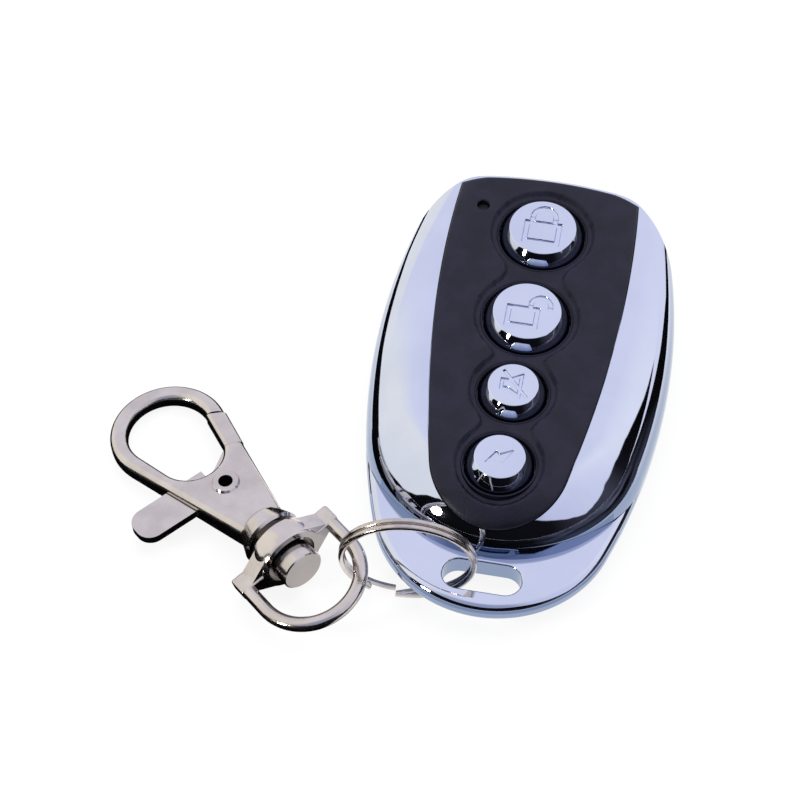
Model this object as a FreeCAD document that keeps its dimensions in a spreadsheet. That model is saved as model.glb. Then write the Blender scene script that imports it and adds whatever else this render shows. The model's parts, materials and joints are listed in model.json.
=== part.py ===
import FreeCAD, Part
import Sketcher
import math
import os

# A four button key fob remote with its split ring and lobster clasp, in millimetres.
# The fob lies on its back: the origin is the middle of its back face, +Z runs up
# through the buttons and +Y points to the end with the indicator.

V = FreeCAD.Vector

SIZES = {
    # plan outline of the fob
    "half_width": 18.6,
    "widest_place": 5.7,
    "side_radius": 80.6,
    "head_end": 29.4,
    "head_radius": 54.0,
    "head_corner": 11.5,
    "nose_end": 24.0,
    "tail_end": 30.8,
    # heights of the housing
    "shell_bottom": 2.3,
    "tail_thickness": 3.2,
    "crown_height": 12.4,
    "crown_radius": 8.0,
    "raised_margin": 0.4,
    "head_round": 1.2,
    "rim_round": 1.2,
    "bottom_round": 1.3,
    "shell_wall": 2.0,
    "ceiling_depth": 2.5,
    "seat_depth": 1.0,
    # keyring slot in the tail
    "slot_place": 26.5,
    "slot_length": 9.5,
    "slot_width": 4.0,
    "slot_bevel": 0.25,
    # black top panel
    "panel_half_width": 11.7,
    "panel_widest": 17.0,
    "panel_side_radius": 155.0,
    "panel_end": 22.3,
    "panel_head": 28.5,
    "panel_head_flatness": 4.0,
    "panel_proud": 0.2,
    "panel_gap": 0.1,
    "recess_depth": 0.6,
    "recess_margin": 1.15,
    # buttons and switches
    "button_top": 13.6,
    "skirt_height": 1.05,
    "skirt_flare": 1.25,
    "large_face": 4.2,
    "small_face": 3.05,
    "button_gap": 0.25,
    "flange_width": 0.5,
    "flange_height": 0.7,
    "button_wall": 1.1,
    "stem_size": 1.6,
    "switch_size": 6.0,
    "switch_height": 2.5,
    "plunger_size": 1.7,
    "plunger_fit": 0.05,
    "plunger_depth": 1.0,
    # inside
    "board_bottom": 5.0,
    "board_thickness": 1.0,
    "board_gap": 0.5,
    "cell_size": 10.0,
    "cell_height": 3.2,
    "cell_place": 4.0,
    "clip_thickness": 0.4,
    "clip_width": 8.0,
    "aerial_end": 17.0,
    "chip_inset": 9.4,
    "led_across": 8.04,
    "led_place": 23.2,
    "led_hole": 0.8,
    # back cover and screws
    "cover_inset": 1.5,
    "cover_floor": 1.2,
    "cover_wall": 1.0,
    "cover_lip": 1.0,
    "cover_fit": 0.15,
    "boss_size": 1.9,
    "post_size": 2.7,
    "head_screw_inset": 7.1,
    "head_screw_place": 21.5,
    "tail_screw_inset": 10.4,
    "tail_screw_place": -14.4,
    "screw_size": 0.8,
    "screw_head": 1.7,
    "screw_sunk": 1.0,
    "screw_length": 7.5,
    # split ring
    "ring_radius": 7.8,
    "ring_wire": 0.375,
    "ring_pitch": 0.8,
    "ring_across": -8.75,
    "ring_place": -27.3,
    "ring_yaw": 6.0,
    "ring_turn": 100.0,
    "ring_jog": 24.0,
    # clasp
    "clasp_across": -32.6,
    "clasp_place": -18.8,
    "clasp_turn": -41.7,
    "hook_radius": 7.35,
    "hook_opening": 5.15,
    "hook_reach": 11.7,
    "hook_offset": 0.6,
    "throat_radius": 4.1,
    "throat_reach": 6.9,
    "throat_offset": 0.6,
    "hook_thickness": 3.6,
    "hook_tip_thickness": 2.2,
    "hook_round": 0.9,
    "collar_start": 7.2,
    "collar_length": 2.4,
    "collar_size": 3.0,
    "collar_flare": 0.85,
    "neck_size": 2.2,
    "neck_length": 0.9,
    "hub_size": 4.4,
    "hub_length": 2.7,
    "hub_bulge": 0.25,
    "hub_gap": 0.2,
    "hub_recess": 1.1,
    "hub_recess_size": 3.3,
    "eye_roll": 10.5,
    "eye_half_width": 7.3,
    "eye_wire": 0.9,
    "eye_end": 23.9,
    "eye_shoulder": 10.9,
    "shoulder_height": 2.5,
    "web_reach": 5.8,
    "stud_size": 1.5,
    "stud_head": 2.7,
    "stud_bevel": 0.15,
    "stud_end": 15.7,
    "swivel_fit": 0.05,
    "gate_thickness": 1.1,
    "gate_slot": 1.4,
    "gate_width": 2.2,
    "gate_nose": 10.1,
    "gate_root": 4.4,
    "gate_gap": 0.2,
    "lever_reach": 12.2,
    "lever_width": 4.6,
    "lever_place": 1.8,
    "rivet_size": 1.25,
    "rivet_hole": 0.9,
    "rivet_head": 1.75,
    "rivet_rise": 0.25,
}

LARGE = "large_face"
SMALL = "small_face"
# each button: its name, its place along the fob and the size of its face
BUTTONS = [
    ("lock", 20.1, LARGE),
    ("unlock", 6.9, LARGE),
    ("siren", -4.3, SMALL),
    ("flash", -14.7, SMALL),
]

doc = FreeCAD.newDocument("key_fob")
sheet = doc.addObject("Spreadsheet::Sheet", "Sizes")
for row, (alias, number) in enumerate(SIZES.items(), start=1):
    sheet.set("A%d" % row, alias)
    sheet.set("B%d" % row, str(number))
    sheet.setAlias("B%d" % row, alias)
for number, (name, place, face) in enumerate(BUTTONS, start=len(SIZES) + 1):
    sheet.set("A%d" % number, name + "_place")
    sheet.set("B%d" % number, str(place))
    sheet.setAlias("B%d" % number, name + "_place")
doc.recompute()
KNOWN = set(SIZES) | {name + "_place" for name, place, face in BUTTONS}

# the raised form starts a little below its long rounds
RAISED_BOTTOM = "( crown_height - crown_radius - raised_margin )"


def size(alias):
    """A driving dimension, read from the sheet."""
    return float(sheet.get(alias))


def bind(item, prop, formula):
    """Tie a property to the sheet: the formula's words are the sheet's aliases."""
    words = []
    for word in formula.split():
        words.append("Sizes." + word if word in KNOWN else word)
    item.setExpression(prop, " ".join(words))


EXPORTS = []
SCREWS = []
for end in ("head", "tail"):
    for side in (-1, 1):
        across = size("half_width") - size(end + "_screw_inset")
        SCREWS.append((side * across, size(end + "_screw_place")))


def keep(item, label):
    """Mark an object as a finished sub-part."""
    item.Label = label
    EXPORTS.append((item, label))
    return item


# helpers for bodies and sketches

def new_body(name):
    return doc.addObject("PartDesign::Body", name)


def origin_plane(body, role):
    for feature in body.Origin.OriginFeatures:
        if feature.Role == role:
            return feature
    raise RuntimeError("no plane " + role)


def new_sketch(body, name, role="XY_Plane", lift=None):
    """A sketch on one of the body's own planes, lifted off it by a formula."""
    sketch = body.newObject("Sketcher::SketchObject", name)
    sketch.AttachmentSupport = [(origin_plane(body, role), "")]
    sketch.MapMode = "FlatFace"
    if lift:
        bind(sketch, "AttachmentOffset.Base.z", lift)
    return sketch


def add_circle(sketch, x, y, formula):
    """A circle whose radius follows the sheet."""
    index = sketch.addGeometry(Part.Circle(V(x, y, 0), V(0, 0, 1), 1.0), False)
    constraint = sketch.addConstraint(Sketcher.Constraint("Radius", index, 1.0))
    bind(sketch, "Constraints[%d]" % constraint, formula)
    return index


def add_polygon(sketch, points):
    """Straight lines round a list of points."""
    for start, end in zip(points, points[1:] + points[:1]):
        sketch.addGeometry(Part.LineSegment(V(*start, 0), V(*end, 0)), False)


def pad(body, sketch, formula, name, midplane=False):
    feature = body.newObject("PartDesign::Pad", name)
    feature.Profile = sketch
    bind(feature, "Length", formula)
    feature.Midplane = midplane
    return feature


def pocket_all(body, sketch, name):
    feature = body.newObject("PartDesign::Pocket", name)
    feature.Profile = sketch
    feature.Type = "ThroughAll"
    feature.Midplane = True
    return feature


def revolve(body, sketch, name, axis):
    feature = body.newObject("PartDesign::Revolution", name)
    feature.Profile = sketch
    feature.ReferenceAxis = (sketch, [axis])
    feature.Angle = 360.0
    return feature


def fillet(body, base, chosen, formula, name):
    """Round the base feature's edges that the test chooses."""
    doc.recompute()
    edges = []
    for index, edge in enumerate(base.Shape.Edges, start=1):
        if chosen(edge):
            edges.append("Edge%d" % index)
    feature = body.newObject("PartDesign::Fillet", name)
    feature.Base = (base, edges)
    bind(feature, "Radius", formula)
    return feature


def boolean(kind, name, first, *others):
    """Cut, Fuse or Common of document objects, one after another."""
    result = first
    for count, other in enumerate(others, start=1):
        feature = doc.addObject("Part::" + kind, "%s_%s_%d" % (name, kind.lower(), count))
        feature.Base = result
        feature.Tool = other
        result = feature
    return result


def cylinder(name, x, y, base, radius, height):
    """An upright cylinder whose radius, base and height are formulas or numbers."""
    item = doc.addObject("Part::Cylinder", name)
    item.Placement.Base = V(x, y, 0)
    bind(item, "Placement.Base.z", base)
    bind(item, "Radius", radius)
    bind(item, "Height", height)
    return item


def box(name, x, y, length, width, base, height):
    """An upright box centred on x and y."""
    item = doc.addObject("Part::Box", name)
    item.Placement.Base = V(x - length / 2, y - width / 2, 0)
    item.Length = length
    item.Width = width
    bind(item, "Placement.Base.z", base)
    bind(item, "Height", height)
    return item


# plan outlines of the fob: long side arcs, an end arc tangent to both, a head arc

def circles_meet(first, first_radius, second, second_radius):
    """The point on the +X side where two circles in plan meet."""
    across = second - first
    distance = across.Length
    along = (first_radius ** 2 - second_radius ** 2 + distance ** 2) / (2 * distance)
    height = math.sqrt(first_radius ** 2 - along ** 2)
    unit = across / distance
    middle = first + unit * along
    options = [middle + V(-unit.y, unit.x, 0) * height, middle - V(-unit.y, unit.x, 0) * height]
    return max(options, key=lambda point: point.x)


def arc_between(centre, radius, start, end):
    """The short arc of a circle from one of its points to another."""
    middle = (start + end) / 2 - centre
    return Part.Arc(start, centre + middle / middle.Length * radius, end)


def outline(half_width, widest, side_radius, end, head, head_radius, corner):
    """Closed plan outline; with corner 0 the side arcs meet the head arc at an angle."""
    side = V(half_width - side_radius, widest, 0)
    reach = side.y + end
    end_radius = (side_radius ** 2 - side.x ** 2 - reach ** 2) / (2 * (side_radius - reach))
    end_centre = V(0, end_radius - end, 0)
    end_touch = side + (end_centre - side).normalize() * side_radius
    head_centre = V(0, head - head_radius, 0)
    flip = lambda point: V(-point.x, point.y, 0)
    if corner > 0:
        round_centre = circles_meet(head_centre, head_radius - corner, side, side_radius - corner)
        head_touch = head_centre + (round_centre - head_centre).normalize() * head_radius
        side_touch = side + (round_centre - side).normalize() * side_radius
    else:
        head_touch = circles_meet(head_centre, head_radius, side, side_radius)
        side_touch = head_touch
    arcs = [
        Part.Arc(flip(head_touch), head_centre + V(0, head_radius, 0), head_touch),
        arc_between(side, side_radius, side_touch, end_touch),
        Part.Arc(end_touch, end_centre - V(0, end_radius, 0), flip(end_touch)),
        arc_between(flip(side), side_radius, flip(end_touch), flip(side_touch)),
    ]
    if corner > 0:
        arcs.append(arc_between(round_centre, corner, head_touch, side_touch))
        arcs.append(arc_between(flip(round_centre), corner, flip(side_touch), flip(head_touch)))
    return arcs


def shell_outline(inset, end_alias, sharp=False):
    """The housing's own outline, ending at the nose or at the tail."""
    corner = 0 if sharp else size("head_corner") - inset
    return outline(size("half_width") - inset, size("widest_place"), size("side_radius") - inset,
                   size(end_alias) - inset, size("head_end") - inset,
                   size("head_radius") - inset, corner)


def panel_outline(grow):
    """The top panel's outline, grown outwards for the housing's seat."""
    return outline(size("panel_half_width") + grow, size("panel_widest"),
                   size("panel_side_radius") + grow, size("panel_end") + grow,
                   size("panel_head") + grow,
                   size("head_radius") - size("panel_head_flatness") + grow, 0)


def prism(name, arcs, bottom, height):
    """A body padded from a plan outline."""
    body = new_body(name)
    sketch = new_sketch(body, name + "_sketch", lift=bottom)
    for arc in arcs:
        sketch.addGeometry(arc, False)
    pad(body, sketch, height, name + "_pad")
    return body


def at_height(edge, height):
    """True where the whole edge lies at one height."""
    box_of = edge.BoundBox
    return abs(box_of.ZMin - height) < 1e-4 and abs(box_of.ZMax - height) < 1e-4


def raised_form(name, inset_formula, inset):
    """The crowned body above the tail, with long rounds on its sides and nose."""
    body = new_body(name)
    bottom = RAISED_BOTTOM if inset < 1.5 else "shell_bottom - 1"
    sketch = new_sketch(body, name + "_sketch", lift=bottom)
    for arc in shell_outline(inset, "nose_end", sharp=True):
        sketch.addGeometry(arc, False)
    top = pad(body, sketch, "crown_height - ( %s ) - ( %s )" % (inset_formula, bottom), name + "_pad")
    head_line = size("head_end") - inset - 3.0
    crown = size("crown_height") - inset
    chosen = lambda edge: at_height(edge, crown) and edge.CenterOfMass.y < head_line
    fillet(body, top, chosen, "crown_radius - ( %s )" % inset_formula, name + "_rounds")
    rounded = inset < size("head_round") - 0.1
    corners_top = "crown_height - ( %s )" % inset_formula
    corners = prism(name + "_corners", shell_outline(inset, "tail_end"), "0",
                    corners_top if rounded else corners_top + " + 2")
    if rounded:
        rim = lambda edge: at_height(edge, crown)
        fillet(corners, corners.Tip, rim, "head_round - ( %s )" % inset_formula, name + "_head_round")
    return boolean("Common", name, body, corners)


outer = raised_form("outer_form", "0", 0.0)
proud = raised_form("proud_form", "-1 * panel_proud", -size("panel_proud"))
seat = raised_form("seat_form", "seat_depth", size("seat_depth"))
cavity = raised_form("cavity_form", "shell_wall", size("shell_wall"))
recess_form = raised_form(
    "recess_form", "recess_depth - panel_proud", size("recess_depth") - size("panel_proud")
)


def button_radii(face):
    """The radii of one button: face, foot of the skirt and flange."""
    foot = "%s + skirt_flare" % face
    return foot, foot + " + flange_width"


def each_button():
    for name, place, face in BUTTONS:
        yield name, size(name + "_place"), face


# the chrome housing

def tail_plate():
    """The thin tail and the lower rim, rounded above and below."""
    body = new_body("tail_plate")
    sketch = new_sketch(body, "tail_plate_sketch", lift="shell_bottom")
    for arc in shell_outline(0.0, "tail_end"):
        sketch.addGeometry(arc, False)
    plate = pad(body, sketch, "tail_thickness", "tail_plate_pad")
    top = size("shell_bottom") + size("tail_thickness")
    bottom = size("shell_bottom")
    rounded = fillet(body, plate, lambda edge: at_height(edge, top), "rim_round", "tail_plate_rim")
    lower = fillet(
        body, rounded, lambda edge: at_height(edge, bottom), "bottom_round", "tail_plate_bottom"
    )
    sketch = new_sketch(body, "slot_sketch", lift="shell_bottom")
    half_width = size("slot_width") / 2
    straight = size("slot_length") / 2 - half_width
    middle = -size("slot_place")
    corners = [V(-straight, middle - half_width, 0), V(straight, middle - half_width, 0)]
    corners += [V(straight, middle + half_width, 0), V(-straight, middle + half_width, 0)]
    sketch.addGeometry(Part.LineSegment(corners[0], corners[1]), False)
    sketch.addGeometry(Part.Arc(corners[1], V(straight + half_width, middle, 0), corners[2]), False)
    sketch.addGeometry(Part.LineSegment(corners[2], corners[3]), False)
    sketch.addGeometry(Part.Arc(corners[3], V(-straight - half_width, middle, 0), corners[0]), False)
    slot = pocket_all(body, sketch, "slot_pocket")
    doc.recompute()
    near = lambda edge: abs(edge.CenterOfMass.x) < size("slot_length") / 2
    ring = lambda edge: (at_height(edge, top) or at_height(edge, bottom)) and near(edge) \
        and abs(edge.CenterOfMass.y - middle) < size("slot_width") / 2 + 0.01
    fillet(body, slot, ring, "slot_bevel", "slot_bevel_round")
    return body


def flange_pockets():
    """Room for the buttons' flanges below the ceiling, also where the nose comes down."""
    tools = []
    for name, place, face in each_button():
        foot, flange = button_radii(face)
        ceiling = "crown_height - ceiling_depth"
        tools.append(cylinder(name + "_flange_room", 0, place, ceiling + " - 3",
                              flange + " + button_gap", "3"))
    return tools


def button_holes():
    tools = []
    for name, place, face in each_button():
        foot, flange = button_radii(face)
        tools.append(cylinder(name + "_hole", 0, place, "crown_height - ceiling_depth - 1",
                              foot + " + button_gap", "ceiling_depth + 3"))
    return tools


def chrome_housing():
    body = boolean("Fuse", "shell", tail_plate(), outer)
    low = prism("ceiling_cut", shell_outline(-1.0, "tail_end"), "crown_height - ceiling_depth", "5")
    hollow = boolean("Cut", "hollow", cavity, low)
    body = boolean("Cut", "shell_hollow", body, hollow)
    posts = []
    for index, (x, y) in enumerate(SCREWS):
        posts.append(cylinder("boss_%d" % index, x, y, "board_bottom", "boss_size",
                              "crown_height - board_bottom - 1"))
    bosses = boolean("Common", "bosses", boolean("Fuse", "boss_set", *posts), seat)
    body = boolean("Fuse", "shell_bosses", body, bosses)
    above = prism("seat_prism", panel_outline(size("panel_gap")), RAISED_BOTTOM, "12")
    seat_room = boolean("Cut", "seat_room", above, seat)
    body = boolean("Cut", "shell_seat", body, seat_room)
    tools = flange_pockets() + button_holes()
    tools.append(cylinder("led_shaft", -size("led_across"), size("led_place"), "board_bottom",
                          "led_hole", "12"))
    for index, (x, y) in enumerate(SCREWS):
        tools.append(cylinder("pilot_%d" % index, x, y, "board_bottom - 1",
                              "screw_size + 0.02", "screw_length - board_bottom + 2.5"))
    return keep(boolean("Cut", "chrome_housing", body, *tools), "chrome_housing")


# the black panel with its chain of round recesses

def recess_chain():
    """Circles round the buttons, joined by narrower necks with rounded inner corners."""
    tools = []
    previous = None
    for name, place, face in each_button():
        radius = size(face) + size("skirt_flare") + size("recess_margin")
        tools.append(cylinder(name + "_recess", 0, place, RAISED_BOTTOM,
                              face + " + skirt_flare + recess_margin", "12"))
        if previous:
            upper_place, upper_radius = previous
            neck = 0.56 * min(radius, upper_radius) * 2
            tools.append(box(name + "_neck", 0, (place + upper_place) / 2, neck,
                             upper_place - place - radius * 0.8, RAISED_BOTTOM, "12"))
        previous = (place, radius)
    return boolean("Cut", "recess", boolean("Fuse", "recess_chain", *tools), recess_form)


def button_panel():
    plan = prism("panel_prism", panel_outline(0.0), RAISED_BOTTOM, "12")
    panel = boolean("Cut", "panel_skin", boolean("Common", "panel", proud, plan), seat)
    tools = [recess_chain()]
    for name, place, face in each_button():
        foot, flange = button_radii(face)
        tools.append(cylinder(name + "_panel_hole", 0, place, RAISED_BOTTOM,
                              foot + " + button_gap", "12"))
    tools.append(cylinder("panel_led_hole", -size("led_across"), size("led_place"),
                          RAISED_BOTTOM, "led_hole", "12"))
    return keep(boolean("Cut", "button_panel", panel, *tools), "button_panel")


# a button: a hollow cap with a conical skirt, a flange and a stem

def button(name, place, face):
    body = new_body(name + "_button")
    sketch = new_sketch(body, name + "_profile", role="XZ_Plane")
    top = size("button_top")
    foot = size(face) + size("skirt_flare")
    barrel = foot - 0.1
    ceiling = size("crown_height") - size("ceiling_depth")
    low = ceiling - size("flange_height")
    inner = barrel - size("button_wall")
    roof = top - size("skirt_height") - 0.3
    add_polygon(sketch, [
        (0, top), (size(face), top), (foot, top - size("skirt_height")),
        (barrel, top - size("skirt_height") - 0.2), (barrel, ceiling),
        (foot + size("flange_width"), ceiling), (foot + size("flange_width"), low),
        (inner, low), (inner, roof), (size("stem_size"), roof), (size("stem_size"), low), (0, low),
    ])
    revolve(body, sketch, name + "_turned", "V_Axis")
    bind(body, "Placement.Base.y", name + "_place")
    return keep(body, name + "_button")


def tact_switch(name, place):
    case = box(name + "_case", 0, place, size("switch_size"), size("switch_size"),
               "board_bottom + board_thickness", "switch_height")
    well = cylinder(name + "_well", 0, place, "board_bottom + board_thickness + 0.4",
                    "plunger_size + plunger_fit", "switch_height")
    return keep(boolean("Cut", name + "_switch", case, well), name + "_switch")


def plunger(name, place):
    top = "( crown_height - ceiling_depth - flange_height )"
    item = cylinder(name + "_plunger", 0, place,
                    "board_bottom + board_thickness + switch_height - plunger_depth",
                    "plunger_size",
                    top + " - ( board_bottom + board_thickness + switch_height - plunger_depth )")
    return keep(item, name + "_plunger")


# back cover, screws, board and what is on it

def back_cover():
    plate = prism("cover_plate", shell_outline(size("cover_inset"), "nose_end"), "0", "shell_bottom")
    lip_inset = size("shell_wall") + size("cover_fit")
    lip = prism("cover_lip", shell_outline(lip_inset, "nose_end"), "shell_bottom - 0.5",
                "cover_lip + 0.5")
    tray_inset = lip_inset + size("cover_wall")
    tray = prism("cover_tray", shell_outline(tray_inset, "nose_end"), "cover_floor", "8")
    body = boolean("Cut", "cover_dish", boolean("Fuse", "cover_shell", plate, lip), tray)
    posts = []
    tools = []
    for index, (x, y) in enumerate(SCREWS):
        posts.append(cylinder("post_%d" % index, x, y, "0.2", "post_size", "board_bottom - 0.2"))
        tools.append(cylinder("bore_%d" % index, x, y, "-1", "screw_size + 0.2", "10"))
        tools.append(cylinder("sink_%d" % index, x, y, "-1", "screw_head + 0.2",
                              "screw_sunk + 1"))
    body = boolean("Fuse", "cover_posts", body, *posts)
    return keep(boolean("Cut", "back_cover", body, *tools), "back_cover")


def cover_screws():
    pieces = []
    for index, (x, y) in enumerate(SCREWS):
        head = cylinder("screw_head_%d" % index, x, y, "0.15", "screw_head", "screw_sunk - 0.15")
        recess = doc.addObject("Part::Prism", "screw_socket_%d" % index)
        recess.Polygon = 4
        recess.Circumradius = 0.9
        recess.Height = 0.6
        recess.Placement.Base = V(x, y, 0.0)
        shank = cylinder("screw_shank_%d" % index, x, y, "0.5", "screw_size", "screw_length")
        slotted = boolean("Cut", "slotted_%d" % index, head, recess)
        pieces.append(boolean("Fuse", "screw_%d" % index, slotted, shank))
    group = doc.addObject("Part::Compound", "cover_screws")
    group.Links = pieces
    return keep(group, "cover_screws")


def circuit_board():
    inset = size("shell_wall") + size("board_gap")
    board = prism("board_plate", shell_outline(inset, "nose_end"), "board_bottom", "board_thickness")
    tools = []
    for index, (x, y) in enumerate(SCREWS):
        tools.append(cylinder("board_hole_%d" % index, x, y, "0", "boss_size + 0.2", "10"))
    return keep(boolean("Cut", "circuit_board", board, *tools), "circuit_board")


def antenna_loop():
    """The printed aerial, a thin copper band along the board's sides and nose."""
    outside = size("shell_wall") + size("board_gap") + 0.3
    top = "board_bottom + board_thickness"
    band = prism("antenna_outside", shell_outline(outside, "nose_end"), top, "0.15")
    hole = prism("antenna_inside", shell_outline(outside + 0.5, "nose_end"), top + " - 1", "3")
    gap = box("antenna_gap", 0, size("head_end"), 3 * size("half_width"),
              2 * (size("head_end") - size("aerial_end")), top + " - 1", "3")
    return keep(boolean("Cut", "antenna_loop", band, hole, gap), "antenna_loop")


def coin_cell():
    cell = cylinder("cell_can", 0, size("cell_place"), "cover_floor + clip_thickness", "cell_size",
                    "cell_height")
    return keep(cell, "coin_cell")


def cell_clip():
    """A steel strap under the cell with a leg up to the board on each side."""
    reach = size("cell_size") + 0.4
    thick = size("clip_thickness")
    strap = box("clip_strap", 0, size("cell_place"), 2 * (reach + thick), size("clip_width"),
                "cover_floor", "clip_thickness")
    legs = []
    for side in (-1, 1):
        legs.append(box("clip_leg_%d" % side, side * (reach + thick / 2), size("cell_place"), thick,
                        size("clip_width"), "cover_floor", "board_bottom - cover_floor"))
    return keep(boolean("Fuse", "cell_clip", strap, *legs), "cell_clip")


def cell_pad():
    base = "cover_floor + clip_thickness + cell_height"
    pad_disc = cylinder("cell_pad", 0, size("cell_place"), base, "5", "board_bottom - ( %s )" % base)
    return keep(pad_disc, "cell_pad")


def on_board(name, x, y, length, width, height):
    part = box(name, x, y, length, width, "board_bottom + board_thickness", height)
    return keep(part, name)


def light_pipe():
    """A clear rod from above the indicator up into the panel's hole."""
    x = -size("led_across")
    y = size("led_place")
    ceiling = "crown_height - ceiling_depth"
    rod = cylinder("pipe_rod", x, y, "board_bottom + board_thickness + 0.8",
                   "led_hole - 0.05", "crown_height - board_bottom - board_thickness - 1.4")
    collar = cylinder("pipe_collar", x, y, ceiling + " - 0.7", "led_hole + 0.5", "0.7")
    return keep(boolean("Fuse", "light_pipe", rod, collar), "light_pipe")


chrome_housing()
button_panel()
for button_name, button_place, button_face in each_button():
    button(button_name, button_place, button_face)
    tact_switch(button_name, button_place)
    plunger(button_name, button_place)
back_cover()
cover_screws()
circuit_board()
antenna_loop()
coin_cell()
cell_clip()
cell_pad()
light_pipe()
on_board("indicator_led", -size("led_across"), size("led_place"), 2.0, 1.3, "0.8")
chip_place = size("half_width") - size("chip_inset")
on_board("encoder_chip", -chip_place, 0.0, 4.0, 5.0, "1.4")
on_board("radio_chip", chip_place, 0.0, 4.0, 5.0, "1.2")
keep(cylinder("saw_resonator", chip_place, -7.0, "board_bottom + board_thickness", "2.3", "1.8"),
     "saw_resonator")
keep(cylinder("trim_capacitor", chip_place, 8.0, "board_bottom + board_thickness", "1.8", "1.6"),
     "trim_capacitor")


# the split ring: two turns of wire, upright in the slot

def split_ring():
    """Two flat turns side by side and the short jog of wire that joins them."""
    radius = size("ring_radius")
    half = size("ring_pitch") / 2
    pieces = []
    for side, start in ((-1, size("ring_jog")), (1, 0.0)):
        turn = doc.addObject("Part::Torus", "ring_turn_%d" % side)
        bind(turn, "Radius1", "ring_radius")
        bind(turn, "Radius2", "ring_wire")
        bind(turn, "Angle3", "360 - ring_jog - 1")
        turn.Placement = FreeCAD.Placement(V(0, 0, side * half), FreeCAD.Rotation(V(0, 0, 1), start))
        pieces.append(turn)
    corner = lambda angle, height: V(radius * math.cos(angle), radius * math.sin(angle), height)
    sweep = math.radians(size("ring_jog"))
    ends = [corner(-0.01, half), corner(sweep + 0.01, -half)]
    tangents = [V(0, 1, 0), V(-math.sin(sweep), math.cos(sweep), 0)]
    route = Part.BSplineCurve()
    route.interpolate(Points=ends, Tangents=[vector * radius for vector in tangents])
    circle = Part.Wire(Part.Edge(Part.Circle(ends[0], V(0, 1, 0), size("ring_wire"))))
    jog = doc.addObject("Part::Feature", "ring_jog_wire")
    jog.Shape = Part.Wire(route.toShape()).makePipeShell([circle], True, False)
    ring = boolean("Fuse", "ring", *pieces, jog)
    upright = FreeCAD.Rotation(V(1, 0, 0), 90)
    turned = FreeCAD.Rotation(V(0, 1, 0), size("ring_turn"))
    yaw = FreeCAD.Rotation(V(0, 0, 1), size("ring_yaw"))
    place = V(size("ring_across"), size("ring_place"), radius + size("ring_wire") + 0.03)
    ring.Placement = FreeCAD.Placement(place, yaw.multiply(turned).multiply(upright))
    return keep(ring, "split_ring")


# the clasp in its own frame: the rivet is its origin, X runs along the swivel's axis
# to the eye, Y to the gate's side and Z up through the rivet

def unit_tangent(point, centre, radius, side):
    """Where a line from a point touches a circle; side is +1 or -1 in Y."""
    reach = centre - point
    angle = math.atan2(reach.y, reach.x)
    spread = math.asin(radius / reach.Length)
    turn = angle - side * spread
    length = math.sqrt(reach.Length ** 2 - radius ** 2)
    return point + V(math.cos(turn), math.sin(turn), 0) * length


def hub_start():
    """Where the hub begins, past the collar and its neck."""
    collar_end = size("collar_start") + size("collar_length")
    return collar_end + size("neck_length") + size("hub_gap")


def clasp_placement(roll=0.0):
    """The clasp rests on the hub and the tip of the hook, and points away from the fob."""
    hub_middle = hub_start() + size("hub_length") / 2
    tip = size("hook_reach") + size("hook_radius")
    rise = size("hub_size") - size("hook_tip_thickness") / 2
    pitch = math.degrees(math.asin(rise / (hub_middle + tip)))
    lift = size("hub_size") - hub_middle * math.sin(math.radians(pitch)) + 0.05
    turn = FreeCAD.Rotation(V(0, 0, 1), size("clasp_turn"))
    tilt = FreeCAD.Rotation(V(0, 1, 0), -pitch)
    spin = FreeCAD.Rotation(V(1, 0, 0), roll)
    rotation = turn.multiply(tilt).multiply(spin)
    return FreeCAD.Placement(V(size("clasp_across"), size("clasp_place"), lift), rotation)


def hook_centre():
    return V(-size("hook_reach"), -size("hook_offset"), 0)


def hook_outline():
    """A teardrop: the hook's round end and two straight sides to the collar."""
    centre = hook_centre()
    radius = size("hook_radius")
    left = V(size("collar_start"), -size("collar_size"), 0)
    right = V(size("collar_start"), size("collar_size"), 0)
    left_touch = unit_tangent(left, centre, radius, -1)
    right_touch = unit_tangent(right, centre, radius, 1)
    return left, left_touch, centre - V(radius, 0, 0), right_touch, right


def opening_edges():
    """The eye of the hook: a large circle and the throat's smaller one, and their tangents."""
    big = hook_centre()
    small = V(-size("throat_reach"), -size("throat_offset"), 0)
    big_radius = size("hook_opening")
    small_radius = size("throat_radius")
    along = small - big
    heading = math.atan2(along.y, along.x)
    lean = math.acos((big_radius - small_radius) / along.Length)
    points = []
    for turn in (heading + lean, heading - lean):
        away = V(math.cos(turn), math.sin(turn), 0)
        points.append((big + away * big_radius, small + away * small_radius))
    forward = V(math.cos(heading), math.sin(heading), 0)
    (big_up, small_up), (big_down, small_down) = points
    return [
        Part.Arc(big_up, big - forward * big_radius, big_down),
        Part.LineSegment(big_down, small_down),
        Part.Arc(small_down, small + forward * small_radius, small_up),
        Part.LineSegment(small_up, big_up),
    ]


def along_side(u):
    """The gate side's straight edge at a place along the clasp."""
    left, left_touch, far, touch, corner = hook_outline()
    share = (u - corner.x) / (touch.x - corner.x)
    return corner.y + share * (touch.y - corner.y)


def slanted(place, slope, v):
    """A point on a slanted end face that crosses the gate's middle at a place."""
    middle = along_side(place) - size("gate_width") / 2
    return (place + (v - middle) * slope, v)


def mouth_polygon():
    top = size("hook_radius") + 1.0
    low = 0.5
    nose = -size("gate_nose")
    root = -size("gate_root")
    return [slanted(nose, NOSE_SLOPE, low), slanted(nose, NOSE_SLOPE, top),
            slanted(root, ROOT_SLOPE, top), slanted(root, ROOT_SLOPE, low)]


NOSE_SLOPE = math.tan(math.radians(32.0))
ROOT_SLOPE = math.tan(math.radians(25.0))


def midplane_pocket(body, sketch, formula, name):
    feature = body.newObject("PartDesign::Pocket", name)
    feature.Profile = sketch
    feature.Midplane = True
    bind(feature, "Length", formula)
    return feature


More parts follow.
